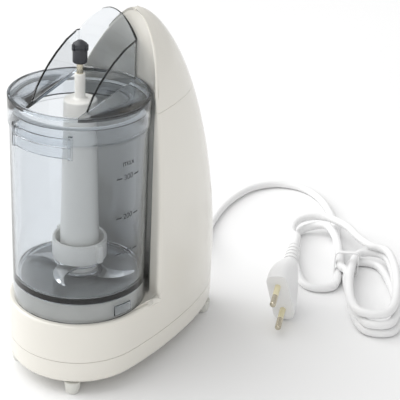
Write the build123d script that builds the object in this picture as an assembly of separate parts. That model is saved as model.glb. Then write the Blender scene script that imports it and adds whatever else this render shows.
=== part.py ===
from build123d import *
import math
import os

# Mini food processor: a teardrop base with an egg-shaped motor tower at its back,
# a smoke-clear bowl standing on the base, a twist-off lid with an open hood, a blade
# spindle on the bowl's axis, and a flat mains lead tied in a hank with a two-pin plug.
# The shapes are drawn about the bowl's axis, front at -Y, resting plane at z = 0.
# save() then shifts each one by bowl_y, so that the origin is under the body's middle.

# Base and tower
bowl_y = -34.25
base_radius = 41.5
rear_end = 110.0
foot_height = 8.0
seam_z = 23.0
base_top = 47.6
cap_seam_z = 163.0
tower_top = 214.4
tower_half_width = 39.2
tower_step = 0.4
front_face_y = 27.5
recess_radius = 41.5
wall = 2.2
body_gap = 0.15
boss_radius = 36.2
boss_bore = 8.6
boss_top = 59.4

# Bowl and lid
bowl_radius = 39.0
bowl_wall = 2.0
bowl_top = 167.0
floor_z = 62.8
floor_thick = 3.0
chimney_radius = 6.2
chimney_wall = 1.4
chimney_top = 80.0
rim_radius = 37.9
lid_radius = 40.0
rim_top = 174.0
plate_thick = 2.2
mouth_front = 37.4
skirt_bottom = 158.0
hood_turn = 21.5
hood_wall = 1.8
running_gap = 0.3

# Blade spindle and drive
column_radius = 10.8
column_foot = 11.9
column_top = 9.0
shoulder_z = 170.2
collar_radius = 16.0
collar_bottom = 72.0
collar_top = 84.5
stem_radius = 3.0
stem_top = 185.0
pin_radius = 1.9
pin_top = 191.0
top_dog_radius = 4.1
top_dog_top = 204.0
blade_reach = 33.5
shaft_radius = 3.0
hex_across = 7.0
hex_top = 96.0
motor_y = 66.0
plunger_z = 156.5
motor_radius = 16.5
motor_low = 52.0
motor_high = 106.0
belt_low = 30.2
belt_high = 35.4
big_pulley = 22.0
small_pulley = 7.0

# Mains lead, 5.6 mm across. Each list is the route's points, chosen by hand.
lead_width = 5.6
lead_route = [
    (-14, 112.3, 23), (-22.5, 126, 22.3), (-31, 139, 18), (-40.5, 152, 11.5), (-51, 167, 5.5), (-64, 188, 2.9),
    (-75, 211, 2.9), (-82, 236, 2.9), (-83, 259, 2.9), (-73, 278, 2.9), (-53, 286, 2.9), (-31, 279, 2.9),
    (-11, 264, 2.9), (5, 250, 2.9), (12, 241, 2.9),
]
plug_route = [(29, 169, 27.3), (24.6, 176.4, 28), (18.5, 184.5, 25), (11.5, 192, 20.5), (5.5, 199.5, 15.5)]
plug_heading = (0.50, -0.85, -0.17)
plug_across = (0.10, 0.25, -0.96)
plug_length = 56.0
hank_height = 17.0
hank_band = 11.0
hank_lobes = [(22, 208, 48, 20), (82, 188, 55, 19)]
hank_angle = -50.0
tie_centre = (52, 198)


def save(name, shape):
    export_step(Pos(0, bowl_y, 0) * shape, "parts/" + name + ".step")


def tube(outer, inner, low, high):
    ring = Cylinder(outer, high - low) - Cylinder(inner, high - low + 2)
    return Pos(0, 0, (low + high) / 2) * ring


def rod(radius, low, high):
    return Pos(0, 0, (low + high) / 2) * Cylinder(radius, high - low)


def block(low, high):
    size = [h - l for l, h in zip(low, high)]
    middle = [(h + l) / 2 for l, h in zip(low, high)]
    return Pos(*middle) * Box(*size)


# Body shape: half widths of the plan from the tower's front back to its rear end
plan_side = [(41, 17), (39.2, 25), (36, 41), (32.4, 57), (27.8, 73), (22.4, 89), (15.5, 103)]
section_levels = [base_top, 80, 110, 140, 163, 175, 186, 196, 204, 209, 212, 213.8]


def tower_width(z):
    rise = max(0, z - base_top) / (tower_top - base_top)
    return tower_half_width * (1 - rise**3.6) ** 0.5


def tower_rear(z):
    rise = max(0, z - base_top) / (tower_top - base_top)
    return recess_radius + (rear_end - recess_radius) * (1 - rise**1.6) ** 0.585


def plan_face(z, inset):
    """Teardrop plan of the base: a half circle at the front, a rounded tail at the rear."""
    front = CenterArc((0, 0), base_radius - inset, 180, 180)
    side = [(x - inset, y) for x, y in plan_side]
    points = [(base_radius - inset, 0)] + side + [(0, rear_end - inset)]
    points += [(-x, y) for x, y in reversed(side)] + [(-(base_radius - inset), 0)]
    tail = Spline(*points, tangents=[(0, 1), (0, -1)])
    return Pos(0, 0, z) * make_face([front, tail])


def tower_face(z, inset):
    """The tower's plan at a height, from well in front of its face to its rear end."""
    scale = tower_width(z) / tower_half_width
    tail = tower_rear(z) - 25.0
    front_y = 4.0
    half = tower_half_width * scale - inset
    side = [(x * scale - inset, 25 + (y - 25) / (rear_end - 25) * tail) for x, y in plan_side[1:]]
    points = side + [(0, tower_rear(z) - inset)]
    points += [(-x, y) for x, y in reversed(side)]
    curve = Spline(*points, tangents=[(0, 1), (0, -1)])
    front = Polyline((-half, 25), (-half, front_y), (half, front_y), (half, 25))
    return Pos(0, 0, z) * make_face([curve, front])


def tower_solid(low, high, inset):
    levels = [low] + [z for z in section_levels if low < z < high] + [high]
    return loft([tower_face(z, inset) for z in levels])


def front_cut(radius, plane_y):
    """What is taken off the tower in front: all before its face, and the bowl's recess."""
    return block((-60, -60, base_top), (60, plane_y, 230)) + rod(radius, base_top, 230)


def main_housing():
    base = extrude(plan_face(seam_z, 0), base_top - seam_z)
    inside = extrude(plan_face(seam_z, wall), base_top - wall - seam_z)
    tower = tower_solid(base_top - 1, cap_seam_z, tower_step) - front_cut(recess_radius, front_face_y)
    hollow = tower_solid(base_top - wall - 2, cap_seam_z, wall + tower_step)
    hollow -= block((-60, -60, 0), (60, front_face_y + wall, base_top - wall))
    hollow -= front_cut(recess_radius + wall, front_face_y + wall)
    hollow -= rod(recess_radius + wall, 40, base_top)
    body = (base - inside + tower) - hollow
    for x, y in screw_places:
        body += Pos(x, y, 0) * tube(3.4, 1.3, seam_z, base_top - 1)
    body += tube(boss_radius, boss_bore, base_top - 1, boss_top)
    body -= tube(boss_radius - wall, boss_bore + wall, 40.0, boss_top - wall)
    body += tube(boss_bore + wall, 6.05, 40.0, base_top)
    body -= rod(6.05, 30, 60)
    body -= Pos(0, recess_radius, plunger_z) * Rot(90, 0, 0) * Cylinder(2.75, 12)
    body -= Pos(*gland_centre) * gland_turn * Cylinder(4.4, 22)
    return body


def tower_cap():
    cap = tower_solid(cap_seam_z + body_gap, section_levels[-1], tower_step)
    cap -= front_cut(recess_radius, front_face_y)
    hollow = tower_solid(cap_seam_z, 207, wall + tower_step)
    hollow -= front_cut(recess_radius + wall, front_face_y + wall)
    return cap - hollow


def bottom_plate():
    lower_edge = [(0, 3.4), (1.4, 1.2), (4.4, 0)]
    plate = loft([plan_face(foot_height + rise, inset) for rise, inset in lower_edge])
    plate += extrude(plan_face(foot_height + 4.4, 0), seam_z - body_gap - foot_height - 4.4)
    plate -= extrude(plan_face(foot_height + 2.5, wall), 20)
    for x, y in screw_places:
        plate += Pos(x, y, 0) * tube(3.4, 1.7, foot_height + 1, seam_z - body_gap)
        plate -= Pos(x, y, 0) * rod(3.0, 0, foot_height + 4)
        plate -= Pos(x, y, 0) * rod(1.7, 0, 30)
    for x, y in foot_places:
        plate -= Pos(x, y, 0) * rod(2.0, 0, 14)
    plate -= Pos(*gland_centre) * gland_turn * Cylinder(4.4, 22)
    plate += tube(6.5, 4.05, foot_height + 2, 22)
    return plate


# Fixing places, left and right alike
screw_places = [(-30, 8), (30, 8), (-19, 84), (19, 84)]
foot_places = [(-24, -27), (24, -27), (-13, 96), (13, 96)]
foot_names = ["foot_front_left", "foot_front_right", "foot_rear_left", "foot_rear_right"]


def foot():
    """Tapered rubber foot with a neck pressed up through the bottom plate."""
    cone = Pos(0, 0, 4) * Cone(4.1, 4.8, foot_height)
    return cone + rod(2.0, foot_height, foot_height + 3.4)


def housing_screws():
    screws = []
    for x, y in screw_places:
        head = rod(2.7, foot_height + 1.8, foot_height + 4)
        slot = block((-2.0, -0.4, 0), (2.0, 0.4, foot_height + 2.7))
        screws.append(Pos(x, y, 0) * (head + rod(1.3, foot_height + 4, 34) - slot))
    return Compound(children=screws)


def drive_shaft():
    shaft = rod(shaft_radius, foot_height + 3.2, 50)
    hexagon = extrude(Pos(0, 0, 58) * RegularPolygon(hex_across / 2, 6, major_radius=False), hex_top - 58)
    return shaft + rod(shaft_radius, 50, 58) + hexagon


def drive_coupling():
    """Black boss over the shaft that turns inside the bowl's chimney foot."""
    boss = tube(5.4, shaft_radius + 0.05, base_top + 0.6, 57.6)
    return boss + tube(7.6, shaft_radius + 0.05, base_top + 0.6, base_top + 2.0)


def bush(low, high, outer):
    return tube(outer, shaft_radius + 0.04, low, high)


def pulley(radius, bore, low, high):
    """Flat belt pulley with a rim flange above and below."""
    rim = tube(radius, bore, low, high)
    flange = tube(radius + 1.5, bore, low - 1.2, low) + tube(radius + 1.5, bore, high, high + 1.2)
    return rim + flange


def driven_pulley():
    wheel = pulley(big_pulley, shaft_radius + 0.02, belt_low - 0.4, belt_high + 0.4)
    holes = [Pos(13 * math.cos(a), 13 * math.sin(a), 32) * Cylinder(3.4, 12) for a in spoke_angles]
    for hole in holes:
        wheel -= hole
    return wheel


spoke_angles = [math.radians(60 * n) for n in range(6)]


def drive_belt():
    """Closed flat belt round both pulleys, a hair clear of their rims."""
    clear = 0.2
    thick = 1.2
    loops = []
    for grow in (clear + thick, clear):
        big = big_pulley + grow
        small = small_pulley + grow
        lean = math.asin((big - small) / motor_y)
        cx, sy = math.cos(lean), math.sin(lean)
        left = Line((-big * cx, big * sy), (-small * cx, motor_y + small * sy))
        right = Line((big * cx, big * sy), (small * cx, motor_y + small * sy))
        near = ThreePointArc((-big * cx, big * sy), (0, -big), (big * cx, big * sy))
        far = ThreePointArc((-small * cx, motor_y + small * sy), (0, motor_y + small), (small * cx, motor_y + small * sy))
        loops.append(make_face([left, right, near, far]))
    return Pos(0, 0, belt_low) * extrude(loops[0] - loops[1], belt_high - belt_low)


def motor_shaft():
    return Pos(0, motor_y, 0) * rod(2.5, 27.5, motor_high + 6)


def motor_fan():
    hub = tube(6, 2.52, 42.5, 48)
    fan = hub
    for n in range(9):
        vane = block((5, -0.5, 42.5), (14.5, 0.5, 48))
        fan += Rot(0, 0, 40 * n) * vane
    fan += tube(14.8, 5.5, 48, 49)
    return Pos(0, motor_y, 0) * fan


def motor_can():
    can = tube(motor_radius, motor_radius - 1.2, motor_low, motor_high - 8)
    can += tube(motor_radius, 5.2, motor_low, motor_low + 1.5)
    for n in range(6):
        slot = block((6, -2.2, motor_low - 1), (12.5, 2.2, motor_low + 3))
        can -= Rot(0, 0, 60 * n) * slot
    return Pos(0, motor_y, 0) * can


def motor_end_cap():
    cap = tube(motor_radius, motor_radius - 3, motor_high - 8 + body_gap, motor_high)
    cap += tube(motor_radius, 6.0, motor_high - 2, motor_high) + tube(6.5, 2.54, motor_high - 4, motor_high + 3)
    return Pos(0, motor_y, 0) * cap


def motor_bracket():
    """Steel plate under the motor, on four rubber-bushed legs of the housing."""
    plate = block((-22.5, -15, 50.2), (22.5, 12, 51.8)) - rod(8, 45, 55)
    for x in (-20, 20):
        plate -= Pos(x, -8, 51) * Cylinder(1.7, 5)
    return Pos(0, motor_y, 0) * plate


def motor_mounts():
    """Two rubber-bushed posts that carry the bracket from the base's underside."""
    posts = [Pos(x, motor_y - 8, 0) * rod(3.2, seam_z - 6, 50.1) for x in (-20, 20)]
    return Compound(children=posts)


def interlock_plunger():
    stem = Pos(0, recess_radius + 5.1, plunger_z) * Rot(90, 0, 0) * Cylinder(2.5, 12.0)
    collar = Pos(0, 51.0, plunger_z) * Rot(90, 0, 0) * Cylinder(3.8, 1.6)
    return stem + collar


def plunger_spring():
    helix = Helix(pitch=1.9, height=7.4, radius=2.1)
    wire = Plane(helix @ 0, z_dir=helix % 0) * Circle(0.3)
    coil = sweep(wire, helix, is_frenet=True)
    return Pos(0, 54.2, plunger_z) * Rot(-90, 0, 0) * coil


def micro_switch():
    case = block((-3.2, 63.5, plunger_z - 10), (3.2, 75, plunger_z + 10))
    button = block((-1.2, 62.4, plunger_z - 1.5), (1.2, 63.5, plunger_z + 1.5))
    legs = [block((-0.4, 75, plunger_z + n), (0.4, 79, plunger_z + n + 3.2)) for n in (-8, -1.6, 4.8)]
    for piece in [button] + legs:
        case += piece
    return case


def terminal_block():
    case = block((-11, 88, 12.5), (11, 97, 21))
    for x in (-6.5, 0, 6.5):
        case -= Pos(x, 92.5, 21) * Cylinder(2.1, 6)
    return case


# The lead's way out of the housing, low at the tower's left rear
gland_centre = (-9.6, 105.2, seam_z)
gland_heading = math.degrees(math.atan2(10.5, -6.5))
gland_turn = Rot(0, 0, gland_heading) * Rot(0, 90, 0)


def cord_bushing():
    """Tapered strain relief: a flange inside, a ribbed rubber tail outside."""
    tail = Pos(0, 0, 12) * Cone(4.4, 3.5, 20)
    flange = Cylinder(6.0, 1.6)
    neck = Pos(0, 0, 1) * Cylinder(4.4, 6)
    shape = tail + neck + flange - Cylinder(lead_width / 2, 60)
    for n in range(4):
        shape -= Pos(0, 0, 6.5 + 4 * n) * (Cylinder(6, 1.4) - Cylinder(3.3, 1.4))
    return Pos(*gland_centre) * gland_turn * shape


def corner_radii(route):
    """Arc at each corner of a route: as large as its two runs allow."""
    radii = []
    for a, b, c in zip(route, route[1:], route[2:]):
        into = Vector(*b) - Vector(*a)
        out = Vector(*c) - Vector(*b)
        turn = math.radians(into.get_angle(out))
        radii.append(0.45 * min(into.length, out.length) / math.tan(turn / 2))
    return radii


def lead_tube(name, route):
    radii = corner_radii(route)
    path = FilletPolyline(*route, radius=radii)
    section = Plane(path @ 0, z_dir=path % 0) * Circle(lead_width / 2)
    solid = sweep(section, path)
    print(name, "radii", [round(r, 1) for r in radii])
    share = solid.volume / (math.pi * (lead_width / 2) ** 2 * path.length)
    print(name, "length", round(path.length, 1), "volume over section x length", round(share, 4))
    return solid


def cord_hank():
    """Outer shape of the tied hank: two open flat loops side by side, joined at the tie."""
    loops = []
    for x, y, long_half, short_half in hank_lobes:
        ring = Ellipse(long_half, short_half) - Ellipse(long_half - hank_band, short_half - hank_band)
        loops.append(Pos(x, y, 0.2) * Rot(0, 0, hank_angle) * extrude(ring, hank_height))
    return loops[0] + loops[1]


def cord_tie():
    """Thin band round the crossing of the two loops, just outside the hank."""
    outer = block((-3.0, -14, 0.05), (3.0, 14, hank_height + 1.6))
    inner = block((-4.0, -12.8, 0.0), (4.0, 12.8, hank_height + 0.35))
    return Pos(*tie_centre) * Rot(0, 0, hank_angle) * (outer - inner)


def plug_frame():
    """Local frame of the plug: z along its pins, x across them, origin at its front face."""
    heading = Vector(*plug_heading).normalized()
    front = Vector(*plug_route[0]) + heading * plug_length
    return Plane(front, x_dir=Vector(*plug_across), z_dir=heading).location


def plug_body():
    """Flat two-pin plug: rounded front block that narrows to a ribbed neck round the lead."""
    levels = [(0, 35.3, 13.7, 5.0), (-9, 34.6, 13.7, 5.0), (-22, 26, 13.2, 5.0), (-34, 14, 11.0, 4.6)]
    faces = [Pos(0, 0, z) * RectangleRounded(w, t, r) for z, w, t, r in levels]
    body = loft(faces)
    neck = Pos(0, 0, -45) * Cone(4.0, 5.4, 22)
    for n in range(5):
        neck -= Pos(0, 0, -38 - 3.8 * n) * (Cylinder(6, 1.2) - Cylinder(3.7, 1.2))
    body += neck
    return plug_frame() * body


def plug_pins():
    pins = [Pos(x, 0, 14.5) * fillet(Cylinder(2.0, 9).edges().sort_by(Axis.Z)[-1], 1.2) for x in (-9.3, 9.3)]
    return plug_frame() * Compound(children=pins)


def plug_sleeves():
    sleeves = [Pos(x, 0, 5) * Cylinder(1.9, 10) for x in (-9.3, 9.3)]
    return plug_frame() * Compound(children=sleeves)


def sector(radius, low, high, middle, half):
    """Wedge about the bowl's axis, to cut a piece of a ring out with."""
    edges = [(radius * math.cos(math.radians(middle + n * half)), radius * math.sin(math.radians(middle + n * half)))
             for n in (-1, -0.5, 0, 0.5, 1)]
    return Pos(0, 0, low) * extrude(make_face(Polyline((0, 0), *edges, close=True)), high - low)


def bowl():
    body = tube(bowl_radius, bowl_radius - bowl_wall, base_top + body_gap, bowl_top - 9.3)
    body += tube(rim_radius, rim_radius - 1.7, bowl_top - 10.3, bowl_top)
    body += tube(bowl_radius, rim_radius - 1.7, bowl_top - 10.3, bowl_top - 9.3)
    body += tube(bowl_radius - 0.5, chimney_radius, floor_z - floor_thick, floor_z)
    body += tube(chimney_radius + chimney_wall, chimney_radius, floor_z - floor_thick, chimney_top)
    for turn in (-3, 177):
        lug = tube(bowl_radius + 0.9, bowl_radius - 1, 50, 56) & sector(60, 49, 57, turn, 8.5)
        body += lug
    return body


def blade_holder():
    """White spindle: hollow foot over the chimney, hex socket, cup collar, column and stem."""
    low = 63.6
    column = Pos(0, 0, (shoulder_z + collar_bottom) / 2) * Cone(column_foot, column_top, shoulder_z - collar_bottom)
    column = fillet(column.edges().sort_by(Axis.Z)[-1], 0.8)
    column += rod(column_radius, low, collar_bottom)
    column -= rod(chimney_radius + chimney_wall + running_gap, low - 1, chimney_top + 0.6)
    socket = RegularPolygon(hex_across / 2 + running_gap, 6, major_radius=False)
    column -= Pos(0, 0, low) * extrude(socket, hex_top + 1.5 - low)
    collar = tube(collar_radius, collar_radius - 1.8, collar_bottom, collar_top)
    collar += tube(collar_radius, column_radius - 0.5, collar_bottom, collar_bottom + 2)
    for side in (-1, 1):
        collar += Pos(side * (collar_radius + 0.9), 0, 79) * Box(3.4, 3.4, 11)
    return column + collar + rod(stem_radius, shoulder_z - 1, stem_top)


def blade(low, turn):
    """Swept cutting blade with a ring that grips the holder's foot."""
    leading = ThreePointArc((8, -9.5), (23, -12), (blade_reach, -1))
    trailing = ThreePointArc((blade_reach, -1), (20, -2.5), (9, 7))
    arm = extrude(make_face([leading, trailing, Line((9, 7), (8, -9.5))]), 1.2)
    plate = Pos(0, 0, low) * arm + Rot(0, 0, 180) * Pos(0, 0, low) * arm
    ring = tube(13.4, column_radius + 0.05, low, low + 1.2)
    return Rot(0, 0, turn) * (plate + ring - rod(column_radius + 0.05, low - 1, low + 3))


def spindle_pin():
    return rod(pin_radius, stem_top, pin_top)


def top_dog():
    """Dark driving dog on top of the spindle, with three small ears."""
    dog = rod(top_dog_radius, pin_top, top_dog_top - 2) + rod(3.1, top_dog_top - 2, top_dog_top)
    for n in range(3):
        ear = block((3.2, -0.8, top_dog_top - 5.4), (5.1, 0.8, top_dog_top - 1.6))
        dog += Rot(0, 0, 120 * n + 20) * ear
    return dog


def lid_seal():
    return tube(rim_radius - 0.1, rim_radius - 1.6, bowl_top + body_gap, bowl_top + 1.3)


hood_side = [(17.2, -25.0), (19.2, 34.9)]
hood_heights = [(-25, 174.2), (-18, 181), (-11, 185.3), (-2.5, 189.4), (6, 192.5), (19, 195.9), (34.9, 197.6)]
plate_low = rim_top - plate_thick


def hood_outline(grow, front_radius, rear_radius):
    """Plan of the hood's inside: two nearly straight sides, round front and rear."""
    (fx, fy), (rx, ry) = hood_side
    slope = (rx - fx) / (ry - fy)
    near, far = fx + grow - 15 * slope, rx + grow + 6 * slope
    shape = make_face(Polyline((-near, -40), (near, -40), (far, 40), (-far, 40), close=True))
    front = Circle(front_radius) & Pos(0, -50) * Rectangle(100, 100)
    rear = Circle(rear_radius) & Pos(0, 50) * Rectangle(100, 100)
    return shape & (front + rear)


def hood():
    """Scoop round the lid's opening: low at the front, arched against the tower behind."""
    walls = extrude(hood_outline(0, 30.5, lid_radius) - hood_outline(-hood_wall, 45, lid_radius - hood_wall), 50)
    walls = Pos(0, 0, plate_low) * walls
    walls -= block((-60, -60, 160), (60, -25, 230))
    side_top = Spline(*[(y, z) for y, z in hood_heights])
    last = (lid_radius + 1, 230)
    side_profile = make_face([side_top, Polyline((34.9, 197.6), (34.9, 230), last, (lid_radius + 1, 160),
                                                 (-25, 160), (-25, 174.2))])
    walls &= Plane.YZ * Pos(0, 0, -30) * extrude(side_profile, 60)
    arch_top = Spline((-19.2, 195.6), (-17, 199.2), (-13.7, 203.4), (-9, 207.8), (0, 211.6), (9, 207.8), (13.7, 203.4),
                      (17, 199.2), (19.2, 195.6))
    arch = make_face([arch_top, Polyline((19.2, 195.6), (19.2, 160), (-19.2, 160), (-19.2, 195.6))])
    walls &= Plane.XZ * Pos(0, 0, -60) * extrude(arch, 120)
    return walls


def lid():
    skirt_inner = rim_radius + running_gap
    body = tube(lid_radius, skirt_inner, skirt_bottom, rim_top)
    body += rod(skirt_inner + 0.5, plate_low, rim_top)
    opening = Rot(0, 0, hood_turn) * extrude(hood_outline(-hood_wall, mouth_front, lid_radius - hood_wall), 8)
    body -= Pos(0, 0, plate_low - 3) * opening
    body += Rot(0, 0, hood_turn) * hood()
    claw = tube(lid_radius + 1.4, bowl_radius + running_gap, 151.5, 163) & sector(60, 150, 165, -75, 26)
    for turn in (-101, -49):
        claw += tube(lid_radius + 2.0, bowl_radius + running_gap, 150.8, 164.5) & sector(60, 150, 165, turn, 1.8)
    cam = tube(lid_radius + 1.1, bowl_radius + running_gap, plunger_z - 4.5, plunger_z + 4.5) & sector(
        60, 140, 180, 90 + hood_turn, 4)
    return body + claw + cam


def write_parts():
    save("main_housing", main_housing())
    save("tower_cap", tower_cap())
    save("bottom_plate", bottom_plate())
    for name, (x, y) in zip(foot_names, foot_places):
        save(name, Pos(x, y, 0) * foot())
    save("housing_screws", housing_screws())
    save("drive_shaft", drive_shaft())
    save("drive_coupling", drive_coupling())
    save("lower_bush", bush(foot_height + 3, 22, 4.0))
    save("upper_bush", bush(40.5, base_top, 6.0))
    save("driven_pulley", driven_pulley())
    save("drive_belt", drive_belt())
    save("motor_pulley", Pos(0, motor_y, 0) * pulley(small_pulley, 2.52, belt_low - 0.4, belt_high + 0.4))
    save("motor_shaft", motor_shaft())
    save("motor_fan", motor_fan())
    save("motor_can", motor_can())
    save("motor_end_cap", motor_end_cap())
    save("motor_bracket", motor_bracket())
    save("motor_mounts", motor_mounts())
    save("interlock_plunger", interlock_plunger())
    save("plunger_spring", plunger_spring())
    save("micro_switch", micro_switch())
    save("terminal_block", terminal_block())
    save("cord_bushing", cord_bushing())
    save("power_lead", lead_tube("power_lead", lead_route))
    save("plug_lead", lead_tube("plug_lead", plug_route))
    save("cord_hank", cord_hank())
    save("cord_tie", cord_tie())
    save("plug_body", plug_body())
    save("plug_sleeves", plug_sleeves())
    save("plug_pins", plug_pins())
    save("bowl", bowl())
    save("blade_holder", blade_holder())
    save("lower_blade", blade(64.3, 35))
    save("upper_blade", blade(69.2, 125))
    save("spindle_pin", spindle_pin())
    save("top_dog", top_dog())
    save("lid_seal", lid_seal())
    save("lid", lid())


os.makedirs("parts", exist_ok=True)
write_parts()
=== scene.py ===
import math

import bmesh
import bpy
from mathutils import Matrix, Vector


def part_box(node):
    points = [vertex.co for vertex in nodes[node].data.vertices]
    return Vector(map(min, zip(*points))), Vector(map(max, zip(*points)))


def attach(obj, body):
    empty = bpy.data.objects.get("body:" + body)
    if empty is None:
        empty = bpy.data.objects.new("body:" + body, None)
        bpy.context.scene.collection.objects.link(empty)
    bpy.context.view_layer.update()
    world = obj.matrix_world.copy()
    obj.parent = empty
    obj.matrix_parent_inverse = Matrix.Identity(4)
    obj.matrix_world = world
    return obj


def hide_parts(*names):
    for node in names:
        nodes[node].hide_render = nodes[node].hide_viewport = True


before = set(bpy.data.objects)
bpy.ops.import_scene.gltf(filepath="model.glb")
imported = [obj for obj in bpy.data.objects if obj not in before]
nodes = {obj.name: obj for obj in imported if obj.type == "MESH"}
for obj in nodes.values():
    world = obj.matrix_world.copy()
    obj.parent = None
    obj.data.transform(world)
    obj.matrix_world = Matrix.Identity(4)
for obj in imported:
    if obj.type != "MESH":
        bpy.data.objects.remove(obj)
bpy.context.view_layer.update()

# Sizes in the dictionaries below are in millimetres about the bowl's upright axis, front at -Y.
mm = 0.001
bowlLow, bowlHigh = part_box("bowl")
axisY = (bowlLow.y + bowlHigh.y) / 2


def place(x, y, z):
    return Vector((x * mm, y * mm + axisY, z * mm))


def newObject(name, mesh):
    obj = bpy.data.objects.new(name, mesh)
    bpy.context.scene.collection.objects.link(obj)
    return obj


def smoothShade(mesh, angle=32):
    for face in mesh.polygons:
        face.use_smooth = True
    mesh.set_sharp_from_angle(angle=math.radians(angle))


def meshPiece(name, points, faces, angle=32):
    mesh = bpy.data.meshes.new(name)
    mesh.from_pydata([place(*p) for p in points], [], faces)
    work = bmesh.new()
    work.from_mesh(mesh)
    bmesh.ops.remove_doubles(work, verts=work.verts, dist=2e-6)
    bmesh.ops.dissolve_degenerate(work, edges=work.edges, dist=1e-6)
    bmesh.ops.recalc_face_normals(work, faces=work.faces)
    work.to_mesh(mesh)
    work.free()
    smoothShade(mesh, angle)
    return newObject(name, mesh)


def gridFaces(rows, columns, closed=True):
    faces = []
    for r in range(rows - 1):
        for c in range(columns if closed else columns - 1):
            d = (c + 1) % columns
            faces.append((r * columns + c, r * columns + d, (r + 1) * columns + d, (r + 1) * columns + c))
    return faces


def roundCorners(outline, radius=0.5, steps=3):
    rounded = []
    count = len(outline)
    for i, here in enumerate(outline):
        before, after = Vector(outline[i - 1][:2]), Vector(outline[(i + 1) % count][:2])
        own = here[2] if len(here) > 2 else radius
        corner = Vector(here[:2])
        toBefore, toAfter = before - corner, after - corner
        reach = min(own, toBefore.length * 0.45, toAfter.length * 0.45)
        if reach < 1e-4:
            rounded.append(tuple(corner))
            continue
        start = corner + toBefore.normalized() * reach
        end = corner + toAfter.normalized() * reach
        for n in range(steps + 1):
            t = n / steps
            p = start * (1 - t) ** 2 + corner * 2 * t * (1 - t) + end * t * t
            rounded.append((p.x, p.y))
    return rounded


def lathe(name, outline, radius=0.5, segments=128, steps=3, angle=32, centre=(0, 0)):
    ring = roundCorners(outline, radius, steps)
    points = []
    for n in range(segments):
        a = 2 * math.pi * n / segments
        points += [(centre[0] + r * math.cos(a), centre[1] + r * math.sin(a), z) for r, z in ring]
    count = len(ring)
    faces = []
    for n in range(segments):
        m = (n + 1) % segments
        for i in range(count):
            j = (i + 1) % count
            faces.append((n * count + i, m * count + i, m * count + j, n * count + j))
    return meshPiece(name, points, faces, angle)


def applyModifiers(obj):
    depsgraph = bpy.context.evaluated_depsgraph_get()
    mesh = bpy.data.meshes.new_from_object(obj.evaluated_get(depsgraph))
    obj.modifiers.clear()
    obj.data = mesh
    return obj


def finishPiece(obj, material, body, slotName, *replaced):
    obj.data.materials.clear()
    obj.data.materials.append(material)
    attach(obj, body)
    if replaced:
        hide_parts(*replaced)
    return obj


def newMaterial(name, color, roughness, **sockets):
    material = bpy.data.materials.new(name)
    material.use_nodes = True
    shader = material.node_tree.nodes["Principled BSDF"]
    shader.inputs["Base Color"].default_value = (*color, 1)
    shader.inputs["Roughness"].default_value = roughness
    for socket, value in sockets.items():
        shader.inputs[socket.replace("_", " ")].default_value = value
    return material, material.node_tree, shader


def addNode(tree, kind, **values):
    node = tree.nodes.new(kind)
    for key, value in values.items():
        if key in node.inputs:
            node.inputs[key].default_value = value
        else:
            setattr(node, key, value)
    return node


def noiseOn(tree, scale, detail=3.0, stretch=None):
    coord = addNode(tree, "ShaderNodeTexCoord")
    noise = addNode(tree, "ShaderNodeTexNoise", Scale=scale, Detail=detail)
    if stretch:
        mapping = addNode(tree, "ShaderNodeMapping", Scale=stretch)
        tree.links.new(coord.outputs["Object"], mapping.inputs["Vector"])
        tree.links.new(mapping.outputs["Vector"], noise.inputs["Vector"])
    else:
        tree.links.new(coord.outputs["Object"], noise.inputs["Vector"])
    return noise


def varyColor(tree, shader, noise, dark, light):
    ramp = addNode(tree, "ShaderNodeValToRGB")
    ramp.color_ramp.elements[0].position = 0.3
    ramp.color_ramp.elements[0].color = (*dark, 1)
    ramp.color_ramp.elements[1].position = 0.7
    ramp.color_ramp.elements[1].color = (*light, 1)
    tree.links.new(noise.outputs["Fac"], ramp.inputs["Fac"])
    tree.links.new(ramp.outputs["Color"], shader.inputs["Base Color"])


def varyRoughness(tree, shader, noise, low, high):
    spread = addNode(tree, "ShaderNodeMapRange")
    spread.inputs["To Min"].default_value = low
    spread.inputs["To Max"].default_value = high
    tree.links.new(noise.outputs["Fac"], spread.inputs["Value"])
    tree.links.new(spread.outputs["Result"], shader.inputs["Roughness"])


def addBump(tree, shader, noise, strength, distance):
    bump = addNode(tree, "ShaderNodeBump", Strength=strength, Distance=distance)
    tree.links.new(noise.outputs["Fac"], bump.inputs["Height"])
    tree.links.new(bump.outputs["Normal"], shader.inputs["Normal"])


def mouldedPlastic(name, dark, light, roughLow, roughHigh, grain=900, depth=0.00003, coat=0.0):
    material, tree, shader = newMaterial(name, light, roughLow, Coat_Weight=coat, Coat_Roughness=0.12)
    varyColor(tree, shader, noiseOn(tree, 14, 4), dark, light)
    varyRoughness(tree, shader, noiseOn(tree, 45, 5), roughLow, roughHigh)
    addBump(tree, shader, noiseOn(tree, grain, 2), 0.25, depth)
    return material


def smokePlastic():
    clear = (0.93, 0.95, 0.97)
    material, tree, shader = newMaterial("smokeClearPlastic", clear, 0.03, Transmission_Weight=1.0)
    shader.inputs["IOR"].default_value = 1.49
    varyRoughness(tree, shader, noiseOn(tree, 60, 4), 0.015, 0.05)
    smoke = addNode(tree, "ShaderNodeVolumeAbsorption", Density=smokeTint["density"])
    smoke.inputs["Color"].default_value = (*smokeTint["color"], 1)
    output = tree.nodes["Material Output"]
    tree.links.new(smoke.outputs["Volume"], output.inputs["Volume"])
    return material


def metal(name, dark, light, roughLow, roughHigh, stretch=(1, 1, 1), anisotropy=0.0):
    material, tree, shader = newMaterial(name, light, roughLow, Metallic=1.0, Anisotropic=anisotropy)
    grain = noiseOn(tree, 260, 4, stretch)
    varyColor(tree, shader, grain, dark, light)
    varyRoughness(tree, shader, grain, roughLow, roughHigh)
    addBump(tree, shader, grain, 0.15, 0.00002)
    return material


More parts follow.
